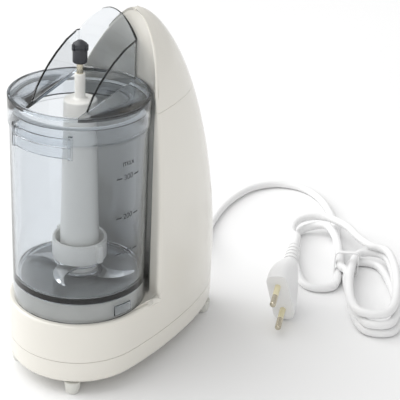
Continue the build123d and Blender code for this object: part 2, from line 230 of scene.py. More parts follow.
smokeTint = dict(density=66, color=(0.28, 0.35, 0.41))
cream = mouldedPlastic("creamPlastic", (0.745, 0.722, 0.66), (0.76, 0.737, 0.675), 0.22, 0.27,
                       1500, 0.00001, coat=0.4)
white = mouldedPlastic("spindlePlastic", (0.86, 0.85, 0.81), (0.89, 0.88, 0.845), 0.26, 0.34, 1500, 0.00001)
smoke = smokePlastic()
footRubber = mouldedPlastic("footRubber", (0.62, 0.62, 0.58), (0.70, 0.70, 0.66), 0.5, 0.65, 500, 0.00006)
beltRubber = mouldedPlastic("beltRubber", (0.02, 0.02, 0.02), (0.04, 0.04, 0.04), 0.6, 0.8, 700, 0.0001)
sealRubber = mouldedPlastic("sealRubber", (0.60, 0.63, 0.65), (0.68, 0.71, 0.73), 0.4, 0.55, 400, 0.00005)
blackPlastic = mouldedPlastic("blackPlastic", (0.028, 0.030, 0.036), (0.05, 0.052, 0.06), 0.35, 0.5,
                              700, 0.0001)
vinyl = mouldedPlastic("whiteVinyl", (0.80, 0.80, 0.80), (0.86, 0.86, 0.86), 0.32, 0.45, 350, 0.00006)
sleeveNylon = mouldedPlastic("sleeveNylon", (0.72, 0.66, 0.42), (0.80, 0.74, 0.52), 0.35, 0.5, 500, 0.00005)
printInk = mouldedPlastic("printInk", (0.015, 0.015, 0.018), (0.03, 0.03, 0.03), 0.4, 0.55, 600, 0.00002)
zincSteel = metal("zincSteel", (0.50, 0.50, 0.50), (0.62, 0.62, 0.61), 0.28, 0.45)
bladeSteel = metal("bladeSteel", (0.60, 0.61, 0.62), (0.74, 0.75, 0.76), 0.14, 0.28, (1, 9, 1), 0.4)
bronze = metal("sinteredBronze", (0.42, 0.28, 0.15), (0.55, 0.38, 0.22), 0.35, 0.5)
pinMetal = metal("pinMetal", (0.50, 0.45, 0.34), (0.66, 0.61, 0.50), 0.18, 0.32, (4, 4, 1))
print("materials ready")

cadFinishes = {
    "housing_screws": zincSteel, "drive_shaft": zincSteel, "motor_shaft": zincSteel, "motor_can": zincSteel,
    "motor_bracket": zincSteel, "plunger_spring": zincSteel, "lower_bush": bronze, "upper_bush": bronze,
    "driven_pulley": blackPlastic, "motor_fan": blackPlastic, "motor_end_cap": blackPlastic,
    "micro_switch": blackPlastic, "drive_belt": beltRubber, "motor_mounts": beltRubber,
    "motor_pulley": pinMetal, "terminal_block": white, "interlock_plunger": white, "lid_seal": sealRubber,
    "drive_coupling": blackPlastic,
}
for nodeName, finish in cadFinishes.items():
    for n in range(len(nodes[nodeName].material_slots)):
        nodes[nodeName].material_slots[n].material = finish
    if not nodes[nodeName].material_slots:
        nodes[nodeName].data.materials.append(finish)

# Body: teardrop plan, egg-shaped tower with the bowl's round recess in its face
body = dict(baseRadius=41.5, rearEnd=110.0, baseTop=47.6, towerTop=214.2, towerHalf=39.2, faceY=27.5,
            recess=41.5, footHeight=8.0, seam=23.0, capSeam=163.0, gap=0.15, ridgeRound=3.2, footRound=3.0,
            deckRound=1.6, wall=2.0, plateRound=5.0)


def towerWidth(z):
    rise = min(max(0, z - body["baseTop"]) / (body["towerTop"] - body["baseTop"]), 1)
    return body["towerHalf"] * (1 - rise ** 3.6) ** 0.5


def towerRear(z):
    rise = min(max(0, z - body["baseTop"]) / (body["towerTop"] - body["baseTop"]), 1)
    return body["recess"] + (body["rearEnd"] - body["recess"]) * (1 - rise ** 1.6) ** 0.585


def planHalf(y):
    if y <= 0:
        return math.sqrt(max(0, body["baseRadius"] ** 2 - y * y))
    return body["baseRadius"] * math.sqrt(max(0, 1 - (y / body["rearEnd"]) ** 1.5))


def towerSide(z, planY):
    scale = towerWidth(z) / body["towerHalf"]
    y = planY if planY < 25 else 25 + (planY - 25) / (body["rearEnd"] - 25) * (towerRear(z) - 25)
    return planHalf(planY) * scale, y


columns = dict(recess=26, strip=5, ridge=9, side=44)


def planYs(start):
    count = columns["side"]
    reach = body["rearEnd"] - start
    return [body["rearEnd"] - reach * (1 - n / count) ** 2 for n in range(1, count + 1)]


def findCorner(z):
    recess, faceY = body["recess"], body["faceY"]

    def outside(planY):
        p = towerSide(z, planY)
        return p[1] >= faceY and math.hypot(*p) >= recess

    low, high = 25.0, body["rearEnd"]
    while not outside(low) and low < high:
        low += 0.5
    low, high = low - 0.5, low
    for _ in range(24):
        middle = (low + high) / 2
        low, high = (low, middle) if outside(middle) else (middle, high)
    return high


def towerRing(z):
    recess, faceY = body["recess"], body["faceY"]
    cornerPlan = findCorner(z)
    corner = Vector(towerSide(z, cornerPlan))
    stripStart = Vector((math.sqrt(recess ** 2 - faceY ** 2), faceY))
    if corner.x <= stripStart.x:
        stripStart = corner.copy()
    arcLength = recess * (math.pi / 2 - math.atan2(stripStart.y, stripStart.x))
    stripLength = (corner - stripStart).length
    reach = min(body["ridgeRound"], towerWidth(z) * 0.3)
    keep = arcLength + stripLength - reach
    arcKept = min(keep, arcLength)
    ring = []
    for n in range(columns["recess"]):
        a = math.pi / 2 - arcKept / recess * n / (columns["recess"] - 1)
        ring.append(Vector((recess * math.cos(a), recess * math.sin(a))))
    arcEnd = ring[-1]
    ridgeStart = stripStart.lerp(corner, (keep - arcLength) / stripLength) if keep > arcLength else arcEnd
    ahead = Vector(towerSide(z, min(cornerPlan + reach * 1.4, body["rearEnd"])))
    ridgeEnd = corner + (ahead - corner).normalized() * reach
    for n in range(1, columns["strip"] + 1):
        ring.append(arcEnd.lerp(ridgeStart, n / columns["strip"]))
    for n in range(1, columns["ridge"] + 1):
        t = n / columns["ridge"]
        ring.append(ridgeStart * (1 - t) ** 2 + corner * 2 * t * (1 - t) + ridgeEnd * t * t)
    startY = cornerPlan + reach * 1.25
    ring += [Vector(towerSide(z, y)) for y in planYs(min(startY, body["rearEnd"] - 1))]
    return ring


def baseRing(inset=0.0):
    front = columns["recess"] + columns["strip"]
    ring = []
    for n in range(front):
        a = math.radians(-90 + 62 * n / (front - 1))
        ring.append(Vector((body["baseRadius"] * math.cos(a), body["baseRadius"] * math.sin(a))))
    startY = 25.0 + body["ridgeRound"]
    low = ring[-1].y
    for n in range(1, columns["ridge"] + 1):
        y = low + (startY - low) * n / columns["ridge"]
        ring.append(Vector((planHalf(y), y)))
    ring += [Vector((planHalf(y), y)) for y in planYs(startY)]
    if inset:
        middle = Vector((0, 20))
        shrunk = []
        for i, p in enumerate(ring):
            before, after = ring[max(i - 1, 0)], ring[min(i + 1, len(ring) - 1)]
            along = (after - before).normalized()
            outward = Vector((along.y, -along.x))
            if outward.dot(p - middle) < 0:
                outward = -outward
            shrunk.append(p - outward * inset)
        shrunk[0].x = 0
        shrunk[-1].x = 0
        ring = shrunk
    return ring


def fullRing(half, z):
    heights = z if isinstance(z, list) else [z] * len(half)
    right = [(p.x, p.y, h) for p, h in zip(half, heights)]
    left = [(-x, y, h) for x, y, h in right[-2:0:-1]]
    right[0] = (0, right[0][1], right[0][2])
    right[-1] = (0, right[-1][1], right[-1][2])
    return right + left


def shellFrom(name, rings, wall, capLast=False, capFirst=False):
    width = len(rings[0])
    points = [p for ring in rings for p in ring]
    faces = gridFaces(len(rings), width)
    if capFirst:
        faces.append(tuple(reversed(range(width))))
    if capLast:
        faces.append(tuple(range(len(points) - width, len(points))))
    shell = meshPiece(name, points, faces, 35)
    if wall:
        thick = shell.modifiers.new("wall", "SOLIDIFY")
        thick.thickness = wall * mm
        thick.offset = -1
        applyModifiers(shell)
        smoothShade(shell.data, 35)
    return shell


def housingRings():
    base, low, top = baseRing(), body["seam"] + body["gap"], body["baseTop"]
    rings = [fullRing(base, z) for z in (low, low + 0.6, 28, 33, 38, 42, top - body["deckRound"])]
    frontCount = columns["recess"] + columns["strip"] + columns["ridge"]
    foot = towerRing(top + body["footRound"])
    edge = baseRing(body["deckRound"])
    inner = []
    for i, p in enumerate(foot):
        before, after = foot[max(i - 1, 0)], foot[min(i + 1, len(foot) - 1)]
        along = after - before
        normal = Vector((-along.y, along.x)).normalized() if along.length > 1e-6 else Vector((0, -1))
        inner.append(p + (normal if normal.y < 0 else -normal) * body["footRound"])
    inner[0].x = 0
    bend, flat = 5, 9
    total = bend * 2 + flat
    for k in range(1, total + 1):
        if k <= bend:
            a = math.pi / 2 * k / bend
            deck = baseRing(body["deckRound"] * (1 - math.cos(a)))
            level = top - body["deckRound"] * (1 - math.sin(a))
        elif k <= bend + flat:
            deck = [p.lerp(q, (k - bend) / flat) for p, q in zip(edge, inner)]
            level = top
        else:
            a = math.pi / 2 * (k - bend - flat) / bend
            deck = [p.lerp(q, math.sin(a)) for p, q in zip(inner, foot)]
            level = top + body["footRound"] * (1 - math.cos(a))
        sideLevel = top - body["deckRound"] + (body["deckRound"] + body["footRound"]) * k / total
        ring, heights = [], []
        for i in range(len(base)):
            share = min(max((frontCount - 1 - i) / 6, 0), 1)
            ring.append(base[i].lerp(foot[i], k / total).lerp(deck[i], share))
            heights.append(sideLevel + (level - sideLevel) * share)
        rings.append(fullRing(ring, heights))
    count = 46
    lowTower = top + body["footRound"]
    for n in range(1, count + 1):
        z = lowTower + (body["capSeam"] - lowTower) * n / count
        rings.append(fullRing(towerRing(z), z))
    return rings


def capRings():
    low, high = body["capSeam"] + body["gap"], body["towerTop"] - 0.1
    count = 44
    rings = []
    for n in range(count + 1):
        z = high - (high - low) * (1 - n / count) ** 2
        rings.append(fullRing(towerRing(z), z))
    return rings


def plateRings():
    rings = []
    steps = 7
    for n in range(steps + 1):
        a = math.pi / 2 * n / steps
        inset = body["plateRound"] * (1 - math.sin(a))
        level = body["footHeight"] + body["plateRound"] * (1 - math.cos(a)) * 0.9
        rings.append(fullRing(baseRing(inset), level))
    for z in (15, 18, 21, body["seam"] - body["gap"]):
        rings.append(fullRing(baseRing(), z))
    return rings


housing = shellFrom("housing", housingRings(), body["wall"])
finishPiece(housing, cream, "root", "cream_plastic", "main_housing")
towerCap = shellFrom("towerCap", capRings(), body["wall"], capLast=True)
finishPiece(towerCap, cream, "root", "cream_plastic", "tower_cap")
bottomPlate = shellFrom("bottomPlate", plateRings(), body["wall"], capFirst=True)
finishPiece(bottomPlate, cream, "root", "cream_plastic", "bottom_plate")
bossSize = dict(radius=36.2, bore=8.6, low=47.3, high=59.4)
bossOutline = [(bossSize["radius"], bossSize["low"], 0.2), (bossSize["radius"], bossSize["high"], 0.8),
               (bossSize["bore"], bossSize["high"], 0.4), (bossSize["bore"], bossSize["low"], 0.2)]
finishPiece(lathe("bowlBoss", bossOutline, 0.5, 128, 4), cream, "root", "cream_plastic", "main_housing")
print("body shells made")

# Feet: tapered, with a rounded heel and a small ring above it
foot = dict(topRadius=4.8, heelRadius=4.1, height=8.0, ringHeight=2.2)
footTop = foot["height"] - 0.05
for footName in ("foot_front_left", "foot_front_right", "foot_rear_left", "foot_rear_right"):
    low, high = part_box(footName)
    centre = ((low.x + high.x) / 2 / mm, ((low.y + high.y) / 2 - axisY) / mm)
    outline = [(0, 0, 0), (foot["heelRadius"] - 0.2, 0, 0.9), (foot["heelRadius"], foot["ringHeight"], 0.2),
               (foot["heelRadius"] + 0.25, foot["ringHeight"] + 0.3, 0.2), (foot["topRadius"], footTop, 0.2),
               (0, footTop, 0)]
    piece = lathe(footName + "_pad", outline, 0.4, 48, 4, centre=centre)
    finishPiece(piece, footRubber, "root", "pale_rubber", footName)
print("feet made")

# Bowl: one turned shell with floor, chimney and skirt, and two bayonet lugs
bowl = dict(radius=39.0, wall=2.0, rimRadius=37.9, rimBore=36.2, top=167.0, floor=62.8, floorUnder=59.8,
            skirt=47.75, chimney=7.6, chimneyBore=6.2, chimneyTop=80.0, step=157.9)
lug = dict(turns=(-3, 177), half=8.5, inner=38.6, outer=39.85, low=50.0, high=56.0)
inside = bowl["radius"] - bowl["wall"]
bowlOutline = [
    (bowl["radius"], bowl["skirt"], 0.4), (bowl["radius"], bowl["step"], 0.5),
    (bowl["rimRadius"], bowl["step"] + 0.9, 0.4), (bowl["rimRadius"], bowl["top"], 0.6),
    (bowl["rimBore"], bowl["top"], 0.6), (bowl["rimBore"], bowl["step"] - 1.2, 0.6),
    (inside, bowl["step"] - 2.2, 0.6), (inside, bowl["floor"], 3.0), (bowl["chimney"], bowl["floor"], 1.6),
    (bowl["chimney"], bowl["chimneyTop"], 0.5), (bowl["chimneyBore"], bowl["chimneyTop"], 0.5),
    (bowl["chimneyBore"], bowl["floorUnder"], 0.4), (inside + 0.1, bowl["floorUnder"], 0.8),
    (inside + 0.2, bowl["skirt"], 0.4)]
bowlShell = lathe("bowlShell", bowlOutline, 0.5, 160, 4)


def arcBlock(name, inner, outer, low, high, middle, half, radius=0.5, steps=24):
    section = roundCorners([(inner, low), (outer, low), (outer, high), (inner, high)], radius, 3)
    points = []
    for n in range(steps + 1):
        a = math.radians(middle - half + 2 * half * n / steps)
        points += [(r * math.cos(a), r * math.sin(a), z) for r, z in section]
    count = len(section)
    faces = gridFaces(steps + 1, count)
    faces.append(tuple(reversed(range(count))))
    faces.append(tuple(range(len(points) - count, len(points))))
    return meshPiece(name, points, faces, 30)


def joinPieces(name, pieces):
    work = bmesh.new()
    for piece in pieces:
        work.from_mesh(piece.data)
        bpy.data.objects.remove(piece)
    mesh = bpy.data.meshes.new(name)
    work.to_mesh(mesh)
    work.free()
    smoothShade(mesh)
    return newObject(name, mesh)


lugs = []
for turn in lug["turns"]:
    lugs.append(arcBlock("lug", lug["inner"], lug["outer"], lug["low"], lug["high"],
                         turn, lug["half"], 0.35, 14))
bowlLugs = joinPieces("bowlLugs", lugs)
finishPiece(bowlShell, smoke, "bowl", "smoke_plastic", "bowl")
finishPiece(bowlLugs, smoke, "bowl", "smoke_plastic")

# Scale on the bowl: generic marks for 100, 200 and 300 ml and the word max, laid on the wall
scaleMarks = dict(turn=1.0, radius=39.02, lift=0.12, tickLength=3.6, tickHeight=0.7, tickGap=4.6,
                  tickInner=39.0, tickOuter=39.1, textSize=4.6, maxHeight=144.5, maxSize=5.2,
                  marks=((89.5, "100"), (112.0, "200"), (136.0, "300")))


def layOnBowl(mesh, turn, height):
    for v in mesh.vertices:
        a = math.radians(turn) + v.co.x / scaleMarks["radius"]
        r = scaleMarks["radius"] + max(v.co.z, 0)
        v.co = place(r * math.cos(a), r * math.sin(a), height + v.co.y)


def printedText(name, words, size, turn, height):
    curve = bpy.data.curves.new(name, "FONT")
    curve.body = words
    curve.size = size
    curve.align_x = "CENTER"
    curve.align_y = "CENTER"
    curve.extrude = scaleMarks["lift"] / 2
    holder = newObject(name, curve)
    depsgraph = bpy.context.evaluated_depsgraph_get()
    depsgraph.update()
    mesh = bpy.data.meshes.new_from_object(holder.evaluated_get(depsgraph))
    bpy.data.objects.remove(holder)
    layOnBowl(mesh, turn, height)
    return newObject(name, mesh)


prints = [printedText("wordMax", "max", scaleMarks["maxSize"], scaleMarks["turn"], scaleMarks["maxHeight"])]
tickHalf = scaleMarks["tickLength"] / 2
tickRise = scaleMarks["tickHeight"] / 2
for height, words in scaleMarks["marks"]:
    prints.append(printedText("number", words, scaleMarks["textSize"], scaleMarks["turn"], height))
    for side in (-1, 1):
        away = math.degrees((scaleMarks["tickGap"] + tickHalf) / scaleMarks["radius"])
        middle = scaleMarks["turn"] + side * away
        half = math.degrees(tickHalf / scaleMarks["radius"])
        prints.append(arcBlock("tick", scaleMarks["tickInner"], scaleMarks["tickOuter"], height - tickRise,
                               height + tickRise, middle, half, 0.02, 6))
bowlScale = joinPieces("bowlScale", prints)
finishPiece(bowlScale, printInk, "bowl", "black_plastic")
print("bowl made")

# Blade spindle
spindle = dict(column=10.8, columnFoot=11.6, columnTop=9.0, low=63.6, shoulder=170.2, collar=16.0,
               collarLow=72.0, collarTop=84.5, stem=3.0, stemTop=185.0, bore=7.9, boreTop=98.6)
holderOutline = [
    (0, spindle["boreTop"], 0), (spindle["bore"], spindle["boreTop"], 0.5),
    (spindle["bore"], spindle["low"], 0.4),
    (spindle["column"], spindle["low"], 0.4), (spindle["column"], spindle["collarLow"], 0.8),
    (spindle["collar"], spindle["collarLow"], 1.0), (spindle["collar"], spindle["collarTop"], 0.6),
    (spindle["collar"] - 1.8, spindle["collarTop"], 0.6),
    (spindle["collar"] - 1.8, spindle["collarLow"] + 2, 1.2),
    (spindle["columnFoot"], spindle["collarLow"] + 2, 1.2), (spindle["columnTop"], spindle["shoulder"], 1.2),
    (spindle["stem"] + 1.2, spindle["shoulder"] + 0.1, 0.6),
    (spindle["stem"], spindle["shoulder"] + 1.0, 0.5),
    (spindle["stem"], spindle["stemTop"], 0.5), (0, spindle["stemTop"], 0)]
holderBody = lathe("holderBody", holderOutline, 0.5, 96, 4)
tabs = [holderBody]
tabSize = dict(inner=15.2, outer=18.6, half=1.7, low=73.5, high=84.4)
tabPlan = ((tabSize["inner"], -tabSize["half"]), (tabSize["outer"], -tabSize["half"]),
           (tabSize["outer"], tabSize["half"]), (tabSize["inner"], tabSize["half"]))
boxSides = [(0, 1, 5, 4), (1, 2, 6, 5), (2, 3, 7, 6), (3, 0, 4, 7)]
for side in (-1, 1):
    box = [(side * x, y, z) for z in (tabSize["low"], tabSize["high"]) for x, y in tabPlan]
    tab = meshPiece("tab", box, [(0, 1, 2, 3), (4, 5, 6, 7)] + boxSides)
    bevel = tab.modifiers.new("round", "BEVEL")
    bevel.width = 0.5 * mm
    bevel.segments = 3
    applyModifiers(tab)
    tabs.append(tab)
bladeHolder = joinPieces("bladeHolder", tabs)
finishPiece(bladeHolder, white, "spindle", "white_plastic", "blade_holder")


blade = dict(steps=22, thick=1.2, leading=((8, -9.5), (24, -15), (33.4, -1)),
             trailing=((9, 7), (19, -8), (33.2, -0.6)), ringInner=10.85, ringOuter=13.4)


def bendAt(curve, t):
    start, middle, end = (Vector(p) for p in curve)
    return start * (1 - t) ** 2 + middle * 2 * t * (1 - t) + end * t * t


def bladePiece(name, low, turn, lift):
    steps, thick = blade["steps"], blade["thick"]
    points, faces = [], []
    for arm in range(2):
        start = len(points)
        spin = math.radians(turn + 180 * arm)
        for n in range(steps + 1):
            t = n / steps
            leading, trail = bendAt(blade["leading"], t), bendAt(blade["trailing"], t)
            rise = lift * t * t
            edge = leading.lerp(trail, 0.35)
            for p, h in ((leading, low + 0.15), (edge, low + thick), (trail, low + thick), (trail, low)):
                x = p.x * math.cos(spin) - p.y * math.sin(spin)
                y = p.x * math.sin(spin) + p.y * math.cos(spin)
                points.append((x, y, h + rise))
        for n in range(steps):
            a, b = start + n * 4, start + n * 4 + 4
            for i in range(4):
                j = (i + 1) % 4
                faces.append((a + i, a + j, b + j, b + i))
        faces.append((start, start + 1, start + 2, start + 3))
        end = start + steps * 4
        faces.append((end + 3, end + 2, end + 1, end))
    arms = meshPiece(name + "Arms", points, faces, 25)
    inner, outer, high = blade["ringInner"], blade["ringOuter"], low + thick
    ring = lathe(name + "Ring", [(inner, low), (outer, low), (outer, high), (inner, high)], 0.2, 64, 2)
    return joinPieces(name, [arms, ring])


finishPiece(bladePiece("lowerBlade", 64.3, 35, 0.4), bladeSteel, "spindle", "stainless", "lower_blade")
finishPiece(bladePiece("upperBlade", 69.2, 125, 0.0), bladeSteel, "spindle", "stainless", "upper_blade")
pin = dict(radius=1.9, low=184.9, high=191.2)
pinOutline = [(0, pin["low"], 0), (pin["radius"], pin["low"], 0.1), (pin["radius"], pin["high"], 0.2),
              (0, pin["high"], 0)]
steelPin = lathe("steelPin", pinOutline, 0.2, 40)
finishPiece(steelPin, pinMetal, "spindle", "brass", "spindle_pin")
dog = dict(radius=4.1, foot=3.5, groove=3.7)
dogOutline = [(0, 191, 0), (dog["foot"], 191, 0.4), (dog["radius"], 191.8, 0.3), (dog["radius"], 198.4, 0.3),
              (dog["groove"], 198.8, 0.2), (dog["groove"], 199.4, 0.2), (dog["radius"], 199.8, 0.3),
              (dog["radius"], 202.0, 0.5), (2.6, 203.0, 0.4), (1.4, 204.0, 0.5), (0, 204.0, 0)]
dogBody = lathe("dogBody", dogOutline, 0.4, 64)


def repeatAround(name, source, count, material, turn=0.0):
    tree = bpy.data.node_groups.new(name + "Tree", "GeometryNodeTree")
    tree.interface.new_socket("Geometry", in_out="INPUT", socket_type="NodeSocketGeometry")
    countSocket = tree.interface.new_socket("Count", in_out="INPUT", socket_type="NodeSocketInt")
    turnSocket = tree.interface.new_socket("Start turn", in_out="INPUT", socket_type="NodeSocketFloat")
    tree.interface.new_socket("Geometry", in_out="OUTPUT", socket_type="NodeSocketGeometry")
    inside, outside = tree.nodes.new("NodeGroupInput"), tree.nodes.new("NodeGroupOutput")
    spots = tree.nodes.new("GeometryNodePoints")
    index = tree.nodes.new("GeometryNodeInputIndex")
    share = addNode(tree, "ShaderNodeMath", operation="DIVIDE")
    angle = addNode(tree, "ShaderNodeMath", operation="MULTIPLY_ADD")
    angle.inputs[1].default_value = 2 * math.pi
    turnBy = tree.nodes.new("ShaderNodeCombineXYZ")
    copies = tree.nodes.new("GeometryNodeInstanceOnPoints")
    real = tree.nodes.new("GeometryNodeRealizeInstances")
    dress = tree.nodes.new("GeometryNodeSetMaterial")
    dress.inputs["Material"].default_value = material
    link = tree.links.new
    link(inside.outputs["Count"], spots.inputs["Count"])
    link(index.outputs[0], share.inputs[0])
    link(inside.outputs["Count"], share.inputs[1])
    link(share.outputs[0], angle.inputs[0])
    link(inside.outputs["Start turn"], angle.inputs[2])
    link(angle.outputs[0], turnBy.inputs["Z"])
    link(spots.outputs[0], copies.inputs["Points"])
    link(inside.outputs["Geometry"], copies.inputs["Instance"])
    link(turnBy.outputs[0], copies.inputs["Rotation"])
    link(copies.outputs[0], real.inputs[0])
    link(real.outputs[0], dress.inputs[0])
    link(dress.outputs[0], outside.inputs[0])
    for v in source.data.vertices:
        v.co.y -= axisY
    around = source.modifiers.new("around", "NODES")
    around.node_group = tree
    around[countSocket.identifier] = count
    around[turnSocket.identifier] = math.radians(turn)
    applyModifiers(source)
    for v in source.data.vertices:
        v.co.y += axisY
    source.name = name
    return source


def roundedBox(name, low, high, radius=0.3, segments=2):
    plan = ((low[0], low[1]), (high[0], low[1]), (high[0], high[1]), (low[0], high[1]))
    corners = [(x, y, z) for z in (low[2], high[2]) for x, y in plan]
    piece = meshPiece(name, corners, [(3, 2, 1, 0), (4, 5, 6, 7)] + boxSides)
    bevel = piece.modifiers.new("round", "BEVEL")
    bevel.width = radius * mm
    bevel.segments = segments
    return applyModifiers(piece)


ear = roundedBox("ear", (3.0, -0.75, 198.7), (5.0, 0.75, 202.3), 0.35)
ears = repeatAround("dogEars", ear, 3, blackPlastic, 20)
topDog = joinPieces("topDog", [dogBody, ears])
finishPiece(topDog, blackPlastic, "spindle", "black_plastic", "top_dog")
print("spindle made")

# Lid: turned rim and plate, an opening shaped by the hood's plan, the hood, the claw and the cam
lid = dict(radius=40.0, skirtInner=38.2, skirtLow=158.0, rimTop=174.0, plateLow=171.8, hoodTurn=21.5,
           hoodWall=1.3, frontX=17.2, frontY=-25.0, rearX=19.2, rearY=34.9, archLow=195.6, archRise=16.0,
           mouthFront=37.4,
           heights=((-25, 174.2), (-21.5, 178.0), (-18, 181.0), (-11, 185.3), (-2.5, 189.4), (6, 192.5),
                    (19, 195.9), (34.9, 197.4)))


def turned(x, y, degrees):
    a = math.radians(degrees)
    return x * math.cos(a) - y * math.sin(a), x * math.sin(a) + y * math.cos(a)


def sideX(y, inset):
    t = (y - lid["frontY"]) / (lid["rearY"] - lid["frontY"])
    return lid["frontX"] + (lid["rearX"] - lid["frontX"]) * t - inset


def hoodPath(inset, rearRadius, sideSteps=26, rearSteps=30):
    right = []
    for n in range(sideSteps + 1):
        y = lid["frontY"] + (lid["rearY"] - 2.0 - lid["frontY"]) * n / sideSteps
        right.append((sideX(y, inset), y))
    cornerX = sideX(lid["rearY"], inset) - 1.0
    half = math.asin(cornerX / rearRadius)
    angles = [half * (1 - 2 * n / rearSteps) for n in range(rearSteps + 1)]
    rear = [(rearRadius * math.sin(a), rearRadius * math.cos(a)) for a in angles]
    return right + rear + [(-x, y) for x, y in reversed(right)], len(right)


def hoodHeight(x, y, sideCount, index, total):
    if sideCount <= index < total - sideCount:
        share = min(abs(x) / lid["rearX"], 1)
        return lid["archLow"] + lid["archRise"] * (1 - share ** 1.9)
    table = lid["heights"]
    for (ya, za), (yb, zb) in zip(table, table[1:]):
        if y <= yb:
            t = min(max((y - ya) / (yb - ya), 0), 1)
            return za + (zb - za) * t
    return table[-1][1]


def hoodPiece():
    outer, sideCount = hoodPath(0.0, lid["radius"] - 0.05)
    inner, _ = hoodPath(lid["hoodWall"], lid["radius"] - lid["hoodWall"])
    total = len(outer)
    points = []
    for i, (o, q) in enumerate(zip(outer, inner)):
        top = hoodHeight(o[0], o[1], sideCount, i, total)
        low = lid["rimTop"] + 0.02
        rise = [0, 0.02, 0.5, 0.97, 1.0]
        column = [(o[0], o[1], low + (top - 0.5 - low) * t) for t in rise]
        for t in (0.15, 0.5, 0.85):
            edgeHeight = top - 0.5 * abs(1 - 2 * t) ** 2
            column.append((o[0] * (1 - t) + q[0] * t, o[1] * (1 - t) + q[1] * t, edgeHeight))
        column += [(q[0], q[1], low + (top - 0.5 - low) * t) for t in reversed(rise)]
        for p in column:
            x, y = turned(p[0], p[1], lid["hoodTurn"])
            points.append((x, y, p[2]))
    count = len(points) // total
    faces = gridFaces(total, count)
    faces.append(tuple(reversed(range(count))))
    faces.append(tuple(range(len(points) - count, len(points))))
    return meshPiece("hoodWall", points, faces, 40)


def mouthOutline():
    inset = lid["hoodWall"]
    side = [(sideX(y, inset), y) for y in [lid["frontY"] + n * 4 for n in range(15)]]
    rearRadius = lid["radius"] - lid["hoodWall"] - 0.02
    half = math.asin((sideX(lid["rearY"], inset) - 1.0) / rearRadius)
    rearAngles = [half * (1 - n / 8) for n in range(17)]
    rear = [(rearRadius * math.sin(a), rearRadius * math.cos(a)) for a in rearAngles]
    frontX = sideX(lid["frontY"], inset)
    start = -math.acos(frontX / lid["mouthFront"])
    front = [(lid["mouthFront"] * math.cos(a), lid["mouthFront"] * math.sin(a))
             for a in [-math.pi - start + (2 * start + math.pi) * n / 18 for n in range(19)]]
    outline = side + rear + [(-x, y) for x, y in reversed(side)] + front
    return [turned(x, y, lid["hoodTurn"]) for x, y in outline]


def flatCurvePlate(name, loops, low, high, rounding):
    curve = bpy.data.curves.new(name, "CURVE")
    curve.dimensions = "2D"
    curve.fill_mode = "BOTH"
    curve.extrude = (high - low) / 2 * mm - rounding * mm
    curve.bevel_depth = rounding * mm
    curve.bevel_resolution = 2
    for loop in loops:
        spline = curve.splines.new("POLY")
        spline.points.add(len(loop) - 1)
        for point, (x, y) in zip(spline.points, loop):
            point.co = (x * mm, y * mm, 0, 1)
        spline.use_cyclic_u = True
    holder = newObject(name, curve)
    depsgraph = bpy.context.evaluated_depsgraph_get()
    depsgraph.update()
    mesh = bpy.data.meshes.new_from_object(holder.evaluated_get(depsgraph))
    bpy.data.objects.remove(holder)
    mesh.transform(Matrix.Translation((0, axisY, (low + high) / 2 * mm)))
    work = bmesh.new()
    work.from_mesh(mesh)
    bmesh.ops.remove_doubles(work, verts=work.verts, dist=5e-6)
    bmesh.ops.recalc_face_normals(work, faces=work.faces)
    work.to_mesh(mesh)
    work.free()
    smoothShade(mesh)
    return newObject(name, mesh)


rimOutline = [(lid["skirtInner"], lid["skirtLow"], 0.4), (lid["radius"], lid["skirtLow"], 0.6),
              (lid["radius"], lid["rimTop"], 0.6), (lid["skirtInner"], lid["rimTop"], 0.05)]
lidRim = lathe("lidRim", rimOutline, 0.4, 160, 4)
plateRadius = lid["skirtInner"] - 0.03
plateTurns = [2 * math.pi * n / 128 for n in range(128)]
plateCircle = [(plateRadius * math.cos(a), plateRadius * math.sin(a)) for a in plateTurns]
lidPlate = flatCurvePlate("lidPlate", [plateCircle, mouthOutline()], lid["plateLow"], lid["rimTop"], 0.25)
lidHood = hoodPiece()
claw = dict(inner=39.35, bandInner=40.02, outer=41.4, low=151.5, bandLow=157.9, high=163.0, turn=-75, half=26,
            postOuter=42.0, postLow=151.0, postHigh=164.5, postTurns=(-101, -49), postHalf=1.8)
cam = dict(inner=39.9, outer=41.05, low=152.1, high=160.9, half=3.9)
clawParts = [arcBlock("claw", claw["inner"], claw["outer"], claw["low"], claw["bandLow"],
                      claw["turn"], claw["half"], 0.4, 40),
             arcBlock("clawBand", claw["bandInner"], claw["outer"], claw["bandLow"], claw["high"],
                      claw["turn"], claw["half"], 0.4, 40)]
for turn in claw["postTurns"]:
    clawParts.append(arcBlock("clawPost", claw["bandInner"], claw["postOuter"], claw["postLow"],
                              claw["postHigh"], turn, claw["postHalf"], 0.35, 5))
lidClaw = joinPieces("lidClaw", clawParts)
lidCam = arcBlock("lidCam", cam["inner"], cam["outer"], cam["low"], cam["high"],
                  90 + lid["hoodTurn"], cam["half"], 0.3, 8)

for piece in (lidRim, lidPlate, lidHood, lidClaw, lidCam):
    finishPiece(piece, smoke, "lid", "smoke_plastic", "lid")
print("lid made")

